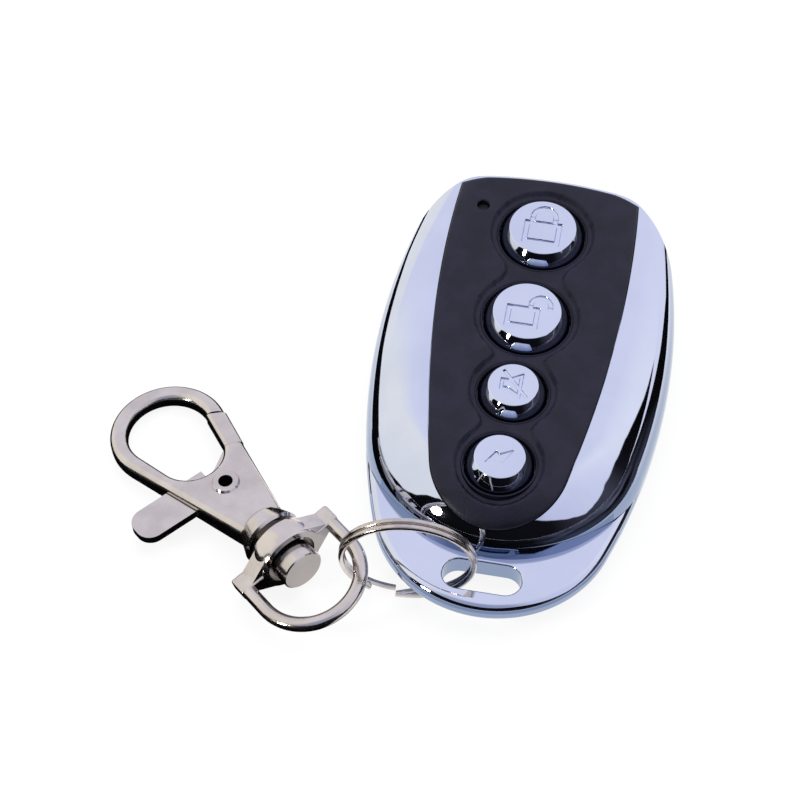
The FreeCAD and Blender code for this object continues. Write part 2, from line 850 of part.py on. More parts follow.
def hook_half(u):
    """Half the clasp body's thickness at a place along it; it thins towards the hook."""
    length = size("hook_reach") + size("hook_radius") + size("collar_start")
    share = (size("collar_start") - u) / length
    return (size("hook_thickness") * (1 - share) + size("hook_tip_thickness") * share) / 2


def hook_body():
    body = new_body("hook_body")
    sketch = new_sketch(body, "hook_sketch")
    left, left_touch, far, right_touch, right = hook_outline()
    sketch.addGeometry(Part.LineSegment(left, left_touch), False)
    sketch.addGeometry(Part.Arc(left_touch, far, right_touch), False)
    sketch.addGeometry(Part.LineSegment(right_touch, right), False)
    sketch.addGeometry(Part.LineSegment(right, left), False)
    pad(body, sketch, "hook_thickness", "hook_pad", midplane=True)
    sketch = new_sketch(body, "eye_sketch")
    for edge in opening_edges():
        sketch.addGeometry(edge, False)
    pocket_all(body, sketch, "eye_pocket")
    half = size("hook_thickness") / 2
    tip = size("hook_tip_thickness") / 2
    far = -size("hook_reach") - size("hook_radius")
    end = size("collar_start")
    sketch = new_sketch(body, "taper_sketch", role="XZ_Plane")
    for side in (1, -1):
        add_polygon(sketch, [(far, side * tip), (end, side * half), (end, side * (half + 1)),
                             (far, side * (half + 1))])
    taper = pocket_all(body, sketch, "taper_pocket")
    on_face = lambda edge: edge.BoundBox.ZMin > tip - 0.01 or edge.BoundBox.ZMax < -tip + 0.01
    chosen = lambda edge: on_face(edge) and edge.BoundBox.XMin < end - 0.01
    fillet(body, taper, chosen, "hook_round", "hook_rounds")
    sketch = new_sketch(body, "mouth_sketch")
    add_polygon(sketch, mouth_polygon())
    pocket_all(body, sketch, "mouth_pocket")
    sketch = new_sketch(body, "gate_slot_sketch")
    edge = size("lever_place") + size("lever_width") / 2 + 0.4
    clear = 3.5
    add_polygon(sketch, [(-9.0, -0.5), (-9.0, 9.0), (-3.0, 9.0), (0.6, clear), (clear, 2.0),
                         (clear, -9.0), (-edge, -9.0), (-edge, -3.0)])
    midplane_pocket(body, sketch, "gate_slot", "gate_slot_pocket")
    sketch = new_sketch(body, "rivet_hole_sketch")
    add_circle(sketch, 0, 0, "rivet_size")
    pocket_all(body, sketch, "rivet_hole")
    sketch = new_sketch(body, "collar_sketch", role="XZ_Plane")
    start = size("collar_start")
    end = start + size("collar_length")
    neck_end = end + size("neck_length")
    bore = size("stud_size")
    rim = size("collar_size")
    wide = rim + size("collar_flare")
    neck = size("neck_size")
    add_polygon(sketch, [(start - 0.6, bore), (start - 0.6, rim - 0.5), (start, rim),
                         (end - 0.3, wide), (end, wide - 0.3), (end, neck), (neck_end, neck),
                         (neck_end, bore)])
    revolve(body, sketch, "collar", "H_Axis")
    body.Placement = clasp_placement()
    return keep(body, "hook_body")


def gate_lever():
    body = new_body("gate_lever")
    gap = size("gate_gap")
    width = size("gate_width")
    nose = -size("gate_nose") + gap
    root = -size("gate_root") - gap
    sketch = new_sketch(body, "finger_sketch")
    outer_nose = slanted(nose, NOSE_SLOPE, along_side(nose))
    outer_root = slanted(root, ROOT_SLOPE, along_side(root))
    inner_nose = slanted(nose, NOSE_SLOPE, along_side(nose) - width)
    inner_root = slanted(root, ROOT_SLOPE, along_side(root) - width)
    add_polygon(sketch, [inner_nose, outer_nose, outer_root, inner_root])
    finger = pad(body, sketch, "hook_tip_thickness + 0.3", "finger_pad", midplane=True)
    half = size("hook_tip_thickness") / 2 + 0.15
    long_edge = lambda edge: (at_height(edge, half) or at_height(edge, -half)) and edge.Length > 3.5
    fillet(body, finger, long_edge, "hook_round - 0.3", "finger_rounds")
    sketch = new_sketch(body, "web_sketch")
    web = size("rivet_size") + 1.75
    add_polygon(sketch, [inner_root, (-web, 0.0), (0.0, web), outer_root])
    pad(body, sketch, "gate_thickness", "web_pad", midplane=True)
    sketch = new_sketch(body, "hub_sketch")
    add_circle(sketch, 0, 0, "rivet_size + 1.75")
    pad(body, sketch, "gate_thickness", "hub_pad", midplane=True)
    sketch = new_sketch(body, "lever_sketch")
    right = -size("lever_place") + size("lever_width") / 2
    left = right - size("lever_width")
    end = -size("lever_reach")
    corner = size("lever_width") * 0.42
    slant = corner * (1 - math.sqrt(0.5))
    points = [V(right, end + corner, 0), V(right - slant, end + slant, 0), V(right - corner, end, 0)]
    others = [V(left + corner, end, 0), V(left + slant, end + slant, 0), V(left, end + corner, 0)]
    sketch.addGeometry(Part.LineSegment(V(right, -1.0, 0), points[0]), False)
    sketch.addGeometry(Part.Arc(*points), False)
    sketch.addGeometry(Part.LineSegment(points[2], others[0]), False)
    sketch.addGeometry(Part.Arc(*others), False)
    sketch.addGeometry(Part.LineSegment(others[2], V(left, -1.0, 0)), False)
    sketch.addGeometry(Part.LineSegment(V(left, -1.0, 0), V(right, -1.0, 0)), False)
    pad(body, sketch, "gate_thickness", "lever_pad", midplane=True)
    sketch = new_sketch(body, "gate_hole_sketch")
    add_circle(sketch, 0, 0, "rivet_size + swivel_fit")
    pocket_all(body, sketch, "gate_hole")
    sketch = new_sketch(body, "spring_room_sketch", lift="-0.1")
    add_circle(sketch, 0, 0, "rivet_size + 0.35")
    add_circle(sketch, 0, 0, "rivet_size + 1.35")
    room = body.newObject("PartDesign::Pocket", "spring_room")
    room.Profile = sketch
    room.Reversed = True
    bind(room, "Length", "gate_thickness")
    body.Placement = clasp_placement()
    return keep(body, "gate_lever")


def gate_spring():
    """The flat coil round the rivet that closes the gate, lying in the gate's groove."""
    body = new_body("gate_spring")
    sketch = new_sketch(body, "spring_sketch", lift="-0.07")
    add_circle(sketch, 0, 0, "rivet_size + 0.6")
    add_circle(sketch, 0, 0, "rivet_size + 1.1")
    pad(body, sketch, "gate_thickness / 2", "spring_pad")
    body.Placement = clasp_placement()
    return keep(body, "gate_spring")


def gate_rivet():
    body = new_body("gate_rivet")
    sketch = new_sketch(body, "rivet_profile", role="XZ_Plane")
    half = hook_half(size("rivet_head"))
    rise = size("rivet_rise")
    inner = size("rivet_hole")
    shank = size("rivet_size")
    head = size("rivet_head")
    add_polygon(sketch, [(inner, -half - rise), (head - 0.2, -half - rise), (head, -half),
                         (shank, -half), (shank, half), (head, half), (head - 0.2, half + rise),
                         (inner, half + rise)])
    revolve(body, sketch, "rivet_turned", "V_Axis")
    body.Placement = clasp_placement()
    return keep(body, "gate_rivet")


def swivel_stud():
    body = new_body("swivel_stud")
    sketch = new_sketch(body, "stud_profile", role="XZ_Plane")
    start = size("collar_start")
    head = hub_start() + size("hub_length") - size("hub_recess") + size("hub_gap")
    end = size("stud_end")
    shank = size("stud_size")
    wide = size("stud_head")
    bevel = size("stud_bevel")
    add_polygon(sketch, [(start, 0), (start, shank), (head, shank), (head, wide - 0.5),
                         (head + 0.6, wide), (end - bevel, wide), (end, wide - bevel), (end, 0)])
    revolve(body, sketch, "stud_turned", "H_Axis")
    body.Placement = clasp_placement()
    return keep(body, "swivel_stud")


def swivel_eye():
    """The hub that turns on the stud, its shoulders and the D shaped wire."""
    body = new_body("eye_hub")
    sketch = new_sketch(body, "hub_profile", role="XZ_Plane")
    start = hub_start()
    end = start + size("hub_length")
    floor = end - size("hub_recess")
    recess = size("hub_recess_size")
    rim = size("hub_size")
    bore = size("stud_size") + size("swivel_fit")
    low = rim - size("hub_bulge")
    corners = [V(start, bore, 0), V(start, low, 0), V(end, low, 0), V(end, recess, 0),
               V(floor, recess, 0), V(floor, bore, 0)]
    sketch.addGeometry(Part.LineSegment(corners[0], corners[1]), False)
    sketch.addGeometry(Part.Arc(corners[1], V((start + end) / 2, rim, 0), corners[2]), False)
    for first, second in zip(corners[2:], corners[3:] + corners[:1]):
        sketch.addGeometry(Part.LineSegment(first, second), False)
    revolve(body, sketch, "hub_turned", "H_Axis")
    half = size("eye_half_width")
    wire = size("eye_wire")
    shoulder = size("eye_shoulder")
    tall = size("shoulder_height")
    bar = new_body("eye_bar")
    sketch = new_sketch(bar, "bar_sketch")
    add_polygon(sketch, [(shoulder, -half), (shoulder + tall, -half), (shoulder + tall, half),
                         (shoulder, half)])
    slab = pad(bar, sketch, "2 * eye_wire", "bar_pad", midplane=True)
    fillet(bar, slab, lambda edge: True, "0.3", "bar_rounds")
    web = new_body("eye_web")
    sketch = new_sketch(web, "web_profile", role="YZ_Plane",
                        lift="eye_shoulder + 0.2")
    reach = size("web_reach")
    near = rim * 0.6
    high = rim * 0.76
    add_polygon(sketch, [(-reach, -wire + 0.1), (-near, -high), (near, -high), (reach, -wire + 0.1),
                         (reach, wire - 0.1), (near, high), (-near, high), (-reach, wire - 0.1)])
    pad(web, sketch, "shoulder_height - 0.4", "web_slab")
    hole = doc.addObject("Part::Cylinder", "eye_bore")
    bind(hole, "Radius", "hub_size - 0.6")
    bind(hole, "Height", "hub_length + 1")
    hole.Placement = FreeCAD.Placement(V(start - 0.5, 0, 0), FreeCAD.Rotation(V(0, 1, 0), 90))
    turn = size("eye_end") - half
    middle = half - wire
    path = Part.Wire([
        Part.LineSegment(V(shoulder + tall / 2, -middle, 0), V(turn, -middle, 0)).toShape(),
        Part.Arc(V(turn, -middle, 0), V(turn + middle, 0, 0), V(turn, middle, 0)).toShape(),
        Part.LineSegment(V(turn, middle, 0), V(shoulder + tall / 2, middle, 0)).toShape(),
    ])
    circle = Part.Circle(V(shoulder + tall / 2, -middle, 0), V(1, 0, 0), wire)
    loop = doc.addObject("Part::Feature", "eye_wire_loop")
    loop.Shape = path.makePipeShell([Part.Wire(circle.toShape())], True, False)
    sides = boolean("Cut", "eye_sides_cut", boolean("Fuse", "eye_sides", bar, web), hole)
    eye = boolean("Fuse", "eye", body, sides, loop)
    eye.Placement = clasp_placement(size("eye_roll"))
    return keep(eye, "swivel_eye")


split_ring()
hook_body()
gate_lever()
gate_spring()
gate_rivet()
swivel_stud()
swivel_eye()

doc.recompute()
broken = []
for item in doc.Objects:
    if "Invalid" in item.State or "Error" in item.State:
        broken.append(item.Name)
for item, label in EXPORTS:
    if item.Shape.isNull() or not item.Shape.isValid():
        broken.append(label)
if broken:
    raise RuntimeError("failed: " + ", ".join(broken))

os.makedirs("parts", exist_ok=True)
for item, label in EXPORTS:
    item.Shape.exportStep("parts/%s.step" % label)
    print(label, len(item.Shape.Solids), round(item.Shape.Volume, 2))
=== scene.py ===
import json
import math

import bmesh
import bpy
import numpy as np
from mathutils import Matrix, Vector
from mathutils.geometry import convex_hull_2d, delaunay_2d_cdt


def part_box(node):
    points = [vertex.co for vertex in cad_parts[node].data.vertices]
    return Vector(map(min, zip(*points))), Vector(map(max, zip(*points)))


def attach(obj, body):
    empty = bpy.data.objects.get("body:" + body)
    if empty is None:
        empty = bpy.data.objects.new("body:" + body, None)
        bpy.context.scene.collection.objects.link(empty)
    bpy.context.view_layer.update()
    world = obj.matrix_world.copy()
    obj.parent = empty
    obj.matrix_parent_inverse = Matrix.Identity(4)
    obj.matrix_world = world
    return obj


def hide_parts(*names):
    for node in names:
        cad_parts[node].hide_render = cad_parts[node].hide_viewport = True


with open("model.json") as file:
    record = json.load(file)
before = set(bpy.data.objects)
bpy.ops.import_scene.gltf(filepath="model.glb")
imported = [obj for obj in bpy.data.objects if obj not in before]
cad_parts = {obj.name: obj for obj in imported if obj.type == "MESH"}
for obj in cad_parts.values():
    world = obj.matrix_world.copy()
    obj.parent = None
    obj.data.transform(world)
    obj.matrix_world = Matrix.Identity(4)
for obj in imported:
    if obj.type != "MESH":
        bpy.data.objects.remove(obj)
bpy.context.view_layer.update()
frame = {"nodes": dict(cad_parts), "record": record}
NODES = frame["nodes"]
MM = 0.001
PER_METRE = 1000.0
SCENE = bpy.context.scene


# node trees

class Tree:
    """A short way to write a node tree."""

    def __init__(self, tree):
        self.tree = tree
        tree.nodes.clear()

    def add(self, kind, **settings):
        node = self.tree.nodes.new(kind)
        for name, value in settings.items():
            setattr(node, name, value)
        return node

    def link(self, start, end):
        self.tree.links.new(start, end)

    def fill(self, socket, value):
        """Links an output to the socket, or sets the socket to a constant."""
        if isinstance(value, bpy.types.NodeSocket):
            self.link(value, socket)
        else:
            socket.default_value = value

    def put(self, node, **values):
        for name, value in values.items():
            self.fill(node.inputs[name.replace("_", " ")], value)

    def math(self, kind, first, second=0.0):
        node = self.add("ShaderNodeMath", operation=kind)
        self.fill(node.inputs[0], first)
        self.fill(node.inputs[1], second)
        return node.outputs[0]

    def smooth(self, value, low, high, first=0.0, last=1.0):
        node = self.add("ShaderNodeMapRange", interpolation_type="SMOOTHSTEP")
        self.put(node, Value=value)
        for name, number in (("From Min", low), ("From Max", high), ("To Min", first), ("To Max", last)):
            node.inputs[name].default_value = number
        return node.outputs[0]

    def mix(self, factor, first, second):
        node = self.add("ShaderNodeMix", data_type="RGBA")
        for socket, value in ((node.inputs[0], factor), (node.inputs[6], first), (node.inputs[7], second)):
            self.fill(socket, value)
        return node.outputs[2]

    def noise(self, scale, detail=3.0, rough=0.5, vector=None):
        node = self.add("ShaderNodeTexNoise")
        self.put(node, Scale=scale, Detail=detail, Roughness=rough)
        if vector is not None:
            self.put(node, Vector=vector)
        return node.outputs["Fac"]

    def ramp(self, value, stops):
        """Colours by a value from 0 to 1; the stops are (place, colour)."""
        node = self.add("ShaderNodeValToRGB")
        self.link(value, node.inputs[0])
        points = node.color_ramp.elements
        for place, colour in stops[1:-1]:
            points.new(place).color = colour
        points[0].position, points[0].color = stops[0]
        points[-1].position, points[-1].color = stops[-1]
        return node.outputs["Color"]

    def place(self):
        """Where the shaded point lies, in its object's own frame."""
        return self.add("ShaderNodeTexCoord").outputs["Object"]

    def axes(self, vector):
        node = self.add("ShaderNodeSeparateXYZ")
        self.link(vector, node.inputs[0])
        return node.outputs

    def facing_up(self):
        """How far the surface faces up: 1 on a level top, 0 on an upright side."""
        return self.axes(self.add("ShaderNodeNewGeometry").outputs["Normal"])["Z"]

    def turn(self, across, along):
        """The direction round the object, on the scale of round_turn."""
        return self.math("ADD", self.math("DIVIDE", self.math("ARCTAN2", across, along), 2 * math.pi), 0.5)

    def relief(self, shader, height, distance):
        """Small bumps on a shader, up to distance high, in mm."""
        bump = self.add("ShaderNodeBump")
        bump.inputs["Strength"].default_value = 1.0
        bump.inputs["Distance"].default_value = distance * MM
        self.put(bump, Height=height)
        self.put(shader, Normal=bump.outputs[0])

    def end(self, shader, kind="ShaderNodeOutputMaterial"):
        self.link(shader.outputs[0], self.add(kind).inputs["Surface"])


def new_material(name):
    material = bpy.data.materials.new(name)
    material.use_nodes = True
    return material, Tree(material.node_tree)


def rgb(red, green, blue):
    """A colour given as it looks on a screen, 0 to 255, in linear light."""
    out = []
    for value in (red, green, blue):
        value /= 255.0
        out.append(value / 12.92 if value <= 0.04045 else ((value + 0.055) / 1.055) ** 2.4)
    return (*out, 1.0)


def surface(name, light, dark, patches, rough, grain, bump, metal=0.0, painted_side_shade=None, **fixed):
    """A material with colour, roughness and relief that vary over the surface.

    light and dark are its two colours and rough its least and greatest roughness. patches is the
    size of the colour patches, grain that of the relief and bump the relief's height, in mm.
    The colour given for the upright sides is painted shade: it paints the sides of a metal darker than its tops.
    """
    material, tree = new_material(name)
    place = tree.place()
    shader = tree.add("ShaderNodeBsdfPrincipled")
    shader.inputs["Metallic"].default_value = metal
    for key, value in fixed.items():
        shader.inputs[key.replace("_", " ")].default_value = value
    patch = tree.noise(PER_METRE / patches, 4.0, 0.55, place)
    colour = tree.mix(tree.smooth(patch, 0.3, 0.7), light, dark)
    # painted shade: when a colour for the upright sides is given, the sides take it, blended by how far the surface
    # faces up
    if painted_side_shade:
        colour = tree.mix(tree.smooth(tree.facing_up(), -0.1, 0.5), painted_side_shade, colour)
    tree.put(shader, Base_Color=colour, Roughness=tree.smooth(patch, 0.25, 0.75, *rough))
    tree.relief(shader, tree.noise(PER_METRE / grain, 2.0, 0.6, place), bump)
    tree.end(shader)
    return material


def chrome_material(name):
    """Bright plating: nearly a mirror. Its upright sides are painted darker and bluer, a painted reflection of the
    shaded table beside them.
    """
    material, tree = new_material(name)
    place = tree.place()
    haze = tree.noise(90.0, 4.0, 0.6, place)
    bright = tree.mix(tree.smooth(haze, 0.35, 0.65), rgb(229, 235, 253), rgb(223, 229, 248))
    # painted reflection: the upright sides are painted darker and bluer, as if mirroring the shaded table
    colour = tree.mix(tree.smooth(tree.facing_up(), 0.3, 0.62), rgb(140, 155, 184), bright)
    shader = tree.add("ShaderNodeBsdfPrincipled")
    shader.inputs["Metallic"].default_value = 1.0
    tree.put(shader, Base_Color=colour, Roughness=tree.smooth(haze, 0.3, 0.7, 0.03, 0.055))
    tree.relief(shader, tree.noise(260.0, 2.0, 0.5, place), 0.004)
    tree.end(shader)
    return material


MATERIALS = {
    "chrome": chrome_material("chrome_with_painted_side_reflection"),
    "panel_black": surface("satin_black", rgb(21, 20, 37), rgb(15, 14, 28), 3.0, (0.34, 0.44), 0.2, 0.03,
                           Specular_IOR_Level=0.34),
    "switch_black": surface("switch_plastic", rgb(38, 38, 40), rgb(28, 28, 30), 2.0, (0.4, 0.55), 0.2, 0.01),
    "plunger_grey": surface("plunger_plastic", rgb(150, 150, 152), rgb(128, 128, 131), 1.5, (0.45, 0.6), 0.2, 0.01),
    "cover_black": surface("cover_plastic", rgb(34, 34, 36), rgb(26, 26, 28), 6.0, (0.5, 0.62), 0.25, 0.02),
    "screw_steel": surface("screw_steel", rgb(186, 186, 190), rgb(160, 160, 166), 0.8, (0.2, 0.34), 0.3, 0.004, 1.0),
    "board_green": surface("board_resist", rgb(20, 92, 52), rgb(14, 74, 42), 3.0, (0.3, 0.42), 0.3, 0.01),
    "copper": surface("bare_copper", rgb(214, 142, 100), rgb(188, 116, 80), 1.2, (0.22, 0.36), 0.2, 0.004, 1.0),
    "cell_steel": surface("cell_steel", rgb(205, 205, 208), rgb(184, 184, 190), 1.5, (0.18, 0.3), 0.25, 0.003, 1.0),
    # painted shade: the clear rod in the indicator hole is painted near black, so that the hole reads dark
    "clear_plastic": surface("rod_painted_hole_shade", rgb(16, 15, 19), rgb(10, 10, 13), 2.0, (0.5, 0.6), 0.3, 0.01,
                             0.0, IOR=1.4, Transmission_Weight=0.15),
    "led_red": surface("led_resin", rgb(190, 34, 28), rgb(150, 22, 20), 0.6, (0.15, 0.25), 0.3, 0.003,
                       0.0, IOR=1.5, Transmission_Weight=0.35),
    "chip_black": surface("chip_resin", rgb(36, 36, 38), rgb(27, 27, 29), 1.0, (0.5, 0.65), 0.15, 0.012),
    "trimmer_white": surface("trimmer_ceramic", rgb(226, 222, 210), rgb(208, 203, 190), 0.9, (0.35, 0.5), 0.2, 0.006),
    "ring_nickel": surface("ring_nickel", rgb(224, 215, 209), rgb(202, 193, 187), 1.4, (0.1, 0.2), 0.22, 0.006, 1.0),
    # painted shade: the nickel's upright sides are painted a darker grey than its tops
    "nickel": surface("cast_nickel_painted_side_shade", rgb(232, 223, 217), rgb(216, 207, 201), 3.5, (0.12, 0.2), 0.5, 0.01, 1.0,
                      painted_side_shade=rgb(140, 135, 134)),
}
SLOT_OF = {entry["node"]: entry["material_slot"] for entry in frame["record"]["subparts"]}
for name, item in NODES.items():
    item.data.materials.clear()
    item.data.materials.append(MATERIALS[SLOT_OF[name]])


# meshes

def node_middle(node):
    """The middle of a node's box, seen from above."""
    low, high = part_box(node)
    return Vector(((low[0] + high[0]) / 2, (low[1] + high[1]) / 2))


def face_outward(mesh):
    """Drops points that no face uses and turns all faces outward."""
    shape = bmesh.new()
    shape.from_mesh(mesh)
    loose = [v for v in shape.verts if not v.link_faces]
    if loose:
        bmesh.ops.delete(shape, geom=loose, context="VERTS")
    bmesh.ops.recalc_face_normals(shape, faces=shape.faces)
    shape.to_mesh(mesh)
    shape.free()


def shade_smooth(mesh, degrees):
    """Smooth shading, except at edges that bend more than the angle."""
    for polygon in mesh.polygons:
        polygon.use_smooth = True
    mesh.set_sharp_from_angle(angle=math.radians(degrees))


def new_object(name, mesh, material):
    mesh.materials.append(material)
    item = bpy.data.objects.new(name, mesh)
    SCENE.collection.objects.link(item)
    return item


# the signs on the buttons

def box_sign(u, v, centre, half):
    """Distance to a rectangle, negative inside, in mm."""
    du, dv = np.abs(u - centre[0]) - half[0], np.abs(v - centre[1]) - half[1]
    return np.hypot(np.maximum(du, 0), np.maximum(dv, 0)) + np.minimum(np.maximum(du, dv), 0)


def polygon_sign(u, v, corners):
    """Distance to a closed polygon, negative inside, in mm."""
    nearest = np.full(u.shape, 1e9)
    inside = np.zeros(u.shape, dtype=bool)
    for (u0, v0), (u1, v1) in zip(corners, corners[1:] + corners[:1]):
        eu, ev = u1 - u0, v1 - v0
        along = np.clip(((u - u0) * eu + (v - v0) * ev) / (eu * eu + ev * ev), 0, 1)
        nearest = np.minimum(nearest, np.hypot(u - u0 - along * eu, v - v0 - along * ev))
        crosses = (v0 > v) != (v1 > v)
        inside ^= crosses & (u < u0 + (v - v0) * eu / (ev if ev else 1e-9))
    return np.where(inside, -nearest, nearest)


def outline(sign, width):
    """The band of the given width just inside a shape's edge."""
    return np.maximum(sign, -sign - width)


def shackle(u, v, centre, radius, width, left, right):
    """A padlock's bow: a half ring with a straight leg at each end that goes down to left or right."""
    u, v = u - centre[0], v - centre[1]
    bow = np.maximum(outline(np.hypot(u, v) - radius, width), -v)
    middle = radius - width / 2
    for side, foot in ((-1, left), (1, right)):
        bow = np.minimum(bow, box_sign(u, v, (side * middle, foot / 2), (width / 2, -foot / 2 + 0.01)))
    return bow


def closed_padlock(u, v):
    case = outline(box_sign(u, v, (0.0, -0.85), (2.35, 1.75)), 0.62)
    return np.minimum(case, shackle(u, v, (0.0, 1.6), 1.75, 0.62, -0.75, -0.75))


def open_padlock(u, v):
    case = outline(box_sign(u, v, (-0.5, -0.95), (2.05, 1.6)), 0.58)
    return np.minimum(case, shackle(u, v, (1.55, 1.05), 1.5, 0.58, -0.45, -0.35))


def crossed_speaker(u, v):
    horn = [(-1.6, 0.8), (-0.7, 0.8), (1.05, 1.85), (1.05, -1.85), (-0.7, -0.8), (-1.6, -0.8)]
    body = outline(polygon_sign(u, v, horn), 0.4)
    bar = [(-1.55, 1.85), (-1.25, 2.1), (2.0, -1.45), (1.7, -1.7)]
    return np.minimum(body, polygon_sign(u, v, bar))


def lightning(u, v):
    bolt = [(1.55, 1.2), (0.4, -0.82), (0.08, -0.48), (-1.65, -1.05), (-0.5, 0.72), (-0.12, 0.34)]
    return polygon_sign(u, v, bolt)


# the buttons, each with its sign stamped into the face; all lengths in mm

LARGE_FACE = 4.2
SMALL_FACE = 3.05
# button, radius of its face, cells across the face, sign and body
KEYS = (("lock_button", LARGE_FACE, 168, closed_padlock, "lock_key"),
        ("unlock_button", LARGE_FACE, 168, open_padlock, "unlock_key"),
        ("siren_button", SMALL_FACE, 128, crossed_speaker, "siren_key"),
        ("flash_button", SMALL_FACE, 128, lightning, "flash_key"))
SIGN_DEPTH = 0.25
SIGN_EDGE = 0.08
FACE_MARGIN = 0.1
SKIRT_FLARE = 1.25
BARREL_IN = 0.1
CAP_WALL = 1.1
CAP_ROOF = 1.35
FLANGE_HEIGHT = 0.7
STEM_RADIUS = 1.6


def stamped_face(face, cells, sign, top):
    """A square grid bent to a round face with its sign pressed in: points, faces and rim."""
    grid = np.linspace(-1.0, 1.0, cells + 1)
    a, b = np.meshgrid(grid, grid, indexing="ij")
    wide = np.abs(a) > np.abs(b)
    turn = np.where(wide, np.pi / 4 * b / np.where(a == 0, 1, a),
                    np.pi / 2 - np.pi / 4 * a / np.where(b == 0, 1, b))
    reach = np.where(wide, a, b)
    u, v = reach * np.cos(turn) * (face - FACE_MARGIN), reach * np.sin(turn) * (face - FACE_MARGIN)
    sink = np.clip((SIGN_EDGE - sign(u, v)) / (2 * SIGN_EDGE), 0, 1)
    depth = SIGN_DEPTH * sink * sink * (3 - 2 * sink)
    points = [(u[i, j], v[i, j], top - depth[i, j]) for i in range(cells + 1) for j in range(cells + 1)]

    def at(i, j):
        return i * (cells + 1) + j

    faces = [(at(i, j), at(i + 1, j), at(i + 1, j + 1), at(i, j + 1))
             for i in range(cells) for j in range(cells)]
    rim = ([at(i, 0) for i in range(cells)] + [at(cells, j) for j in range(cells)]
           + [at(i, cells) for i in range(cells, 0, -1)] + [at(0, j) for j in range(cells, 0, -1)])
    return points, faces, rim


def button_mesh(node, face, cells, sign):
    """A stamped cap: a flat face with its sign, a steep polished skirt, a flange, and a stem inside."""
    low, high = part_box(node)
    middle = node_middle(node)
    top, bottom, flange = high[2] / MM, low[2] / MM, (high[0] - low[0]) / 2 / MM
    barrel = face + SKIRT_FLARE - BARREL_IN
    points, faces, rim = stamped_face(face, cells, sign, top)
    angles = [math.atan2(points[k][1], points[k][0]) for k in rim]
    profile = [(face - 0.04, top - 0.02), (face + 0.01, top - 0.07), (face + 0.05, top - 0.14),
               (face + 0.36, top - 0.55), (face + 0.96, top - 1.72), (barrel, top - 2.3),
               (barrel, bottom + FLANGE_HEIGHT), (flange, bottom + FLANGE_HEIGHT), (flange, bottom),
               (barrel - CAP_WALL, bottom), (barrel - CAP_WALL, top - CAP_ROOF),
               (STEM_RADIUS, top - CAP_ROOF), (STEM_RADIUS, bottom)]
    for radius, height in profile:
        ring = list(range(len(points), len(points) + len(angles)))
        points += [(radius * math.cos(angle), radius * math.sin(angle), height) for angle in angles]
        for k, start in enumerate(rim):
            after = (k + 1) % len(rim)
            faces.append((start, ring[k], ring[after], rim[after]))
        rim = ring
    faces.append(tuple(rim))
    mesh = bpy.data.meshes.new(node + "_stamped")
    mesh.from_pydata([(x * MM + middle.x, y * MM + middle.y, z * MM) for x, y, z in points], [], faces)
    face_outward(mesh)
    shade_smooth(mesh, 35)
    return mesh


for node, face, cells, sign, body in KEYS:
    cap = new_object(node + "_cap", button_mesh(node, face, cells, sign), MATERIALS["chrome"])
    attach(cap, body)
    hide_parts(node)


# the black panel, with the soft recesses that a moulded plate has; all lengths in mm

RECESS_DEPTH = 0.6
RECESS_REACH = 2.4
RECESS_SLOPE = 0.5
NECK_WIDTH = 0.56
NECK_START = 0.8
NECK_ROUND = 1.5
CRISP = 0.01
HOLE_REACH = 1.5
LED_HOLE = 0.8
PLATE_THICK = 0.5
EDGE_FALL = 0.14
EDGE_ROUND = 0.3
BRINK_ROUND = 0.22
RIM_STEP = 0.35
PITCH = 0.24
HALF_ACROSS, HALF_ALONG = 11.7, 28.6


def key_places():
    """Where each key stands along the fob and the radius of its face."""
    rows = []
    for node, face, *_ in KEYS:
        low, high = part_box(node)
        rows.append(((low[1] + high[1]) / 2 / MM, face))
    return rows


def soft_least(first, second, blend):
    """The smaller of two distances, with a round change from one to the other."""
    share = np.clip(0.5 + 0.5 * (second - first) / blend, 0, 1)
    return second * (1 - share) + first * share - blend * share * (1 - share)


def recess_sign(x, y, blend):
    """Distance to the chain of recesses, negative inside; blend rounds the corners of its necks."""
    rows = key_places()
    rounds = [np.hypot(x, y - place) - face - RECESS_REACH for place, face in rows]
    sign = rounds[0]
    for near in rounds[1:]:
        sign = soft_least(sign, near, CRISP)
    for (upper, first), (lower, second) in zip(rows, rows[1:]):
        radius, other = second + RECESS_REACH, first + RECESS_REACH
        half = NECK_WIDTH * min(radius, other)
        length = upper - lower - radius * NECK_START
        sign = soft_least(sign, box_sign(x, y, (0.0, (upper + lower) / 2), (half, length / 2)), blend)
    return sign


def panel_rim():
    """Points along the panel's outline, and the way inward at each."""
    flat = [Vector(vertex.co[:2]) / MM for vertex in NODES["button_panel"].data.vertices]
    hull = [flat[k] for k in convex_hull_2d(flat)]
    rim = []
    for here, there in zip(hull, hull[1:] + hull[:1]):
        steps = max(1, int((there - here).length / RIM_STEP))
        rim += [here.lerp(there, k / steps) for k in range(steps)]
    if sum(a.cross(b) for a, b in zip(rim, rim[1:] + rim[:1])) < 0:
        rim.reverse()
    inward = []
    for k, after in enumerate(rim[1:] + rim[:1]):
        run = (after - rim[k - 1]).normalized()
        inward.append(Vector((-run.y, run.x)))
    return rim, inward


def panel_holes():
    """The holes for the keys and the indicator: middle, radius and number of sides."""
    holes = [(Vector((0.0, place)), face + HOLE_REACH, 144) for place, face in key_places()]
    holes.append((node_middle("light_pipe") / MM, LED_HOLE, 40))
    return holes


def rim_distance(x, y, rim, inward):
    """How far points lie inside the outline, measured from every third point of the rim."""
    corner = np.array([(spot.x, spot.y) for spot in rim])[None, ::3, :]
    side = np.array([(way.x, way.y) for way in inward])[None, ::3, :]
    return np.min(((np.stack([x, y], 1)[:, None, :] - corner) * side).sum(axis=2), axis=1)


def hole_distance(x, y, holes):
    """How far points lie outside the nearest hole."""
    return np.min([np.hypot(x - m.x, y - m.y) - r for m, r, _ in holes], axis=0)


def loop_edges(start, count):
    return [(start + k, start + (k + 1) % count) for k in range(count)]


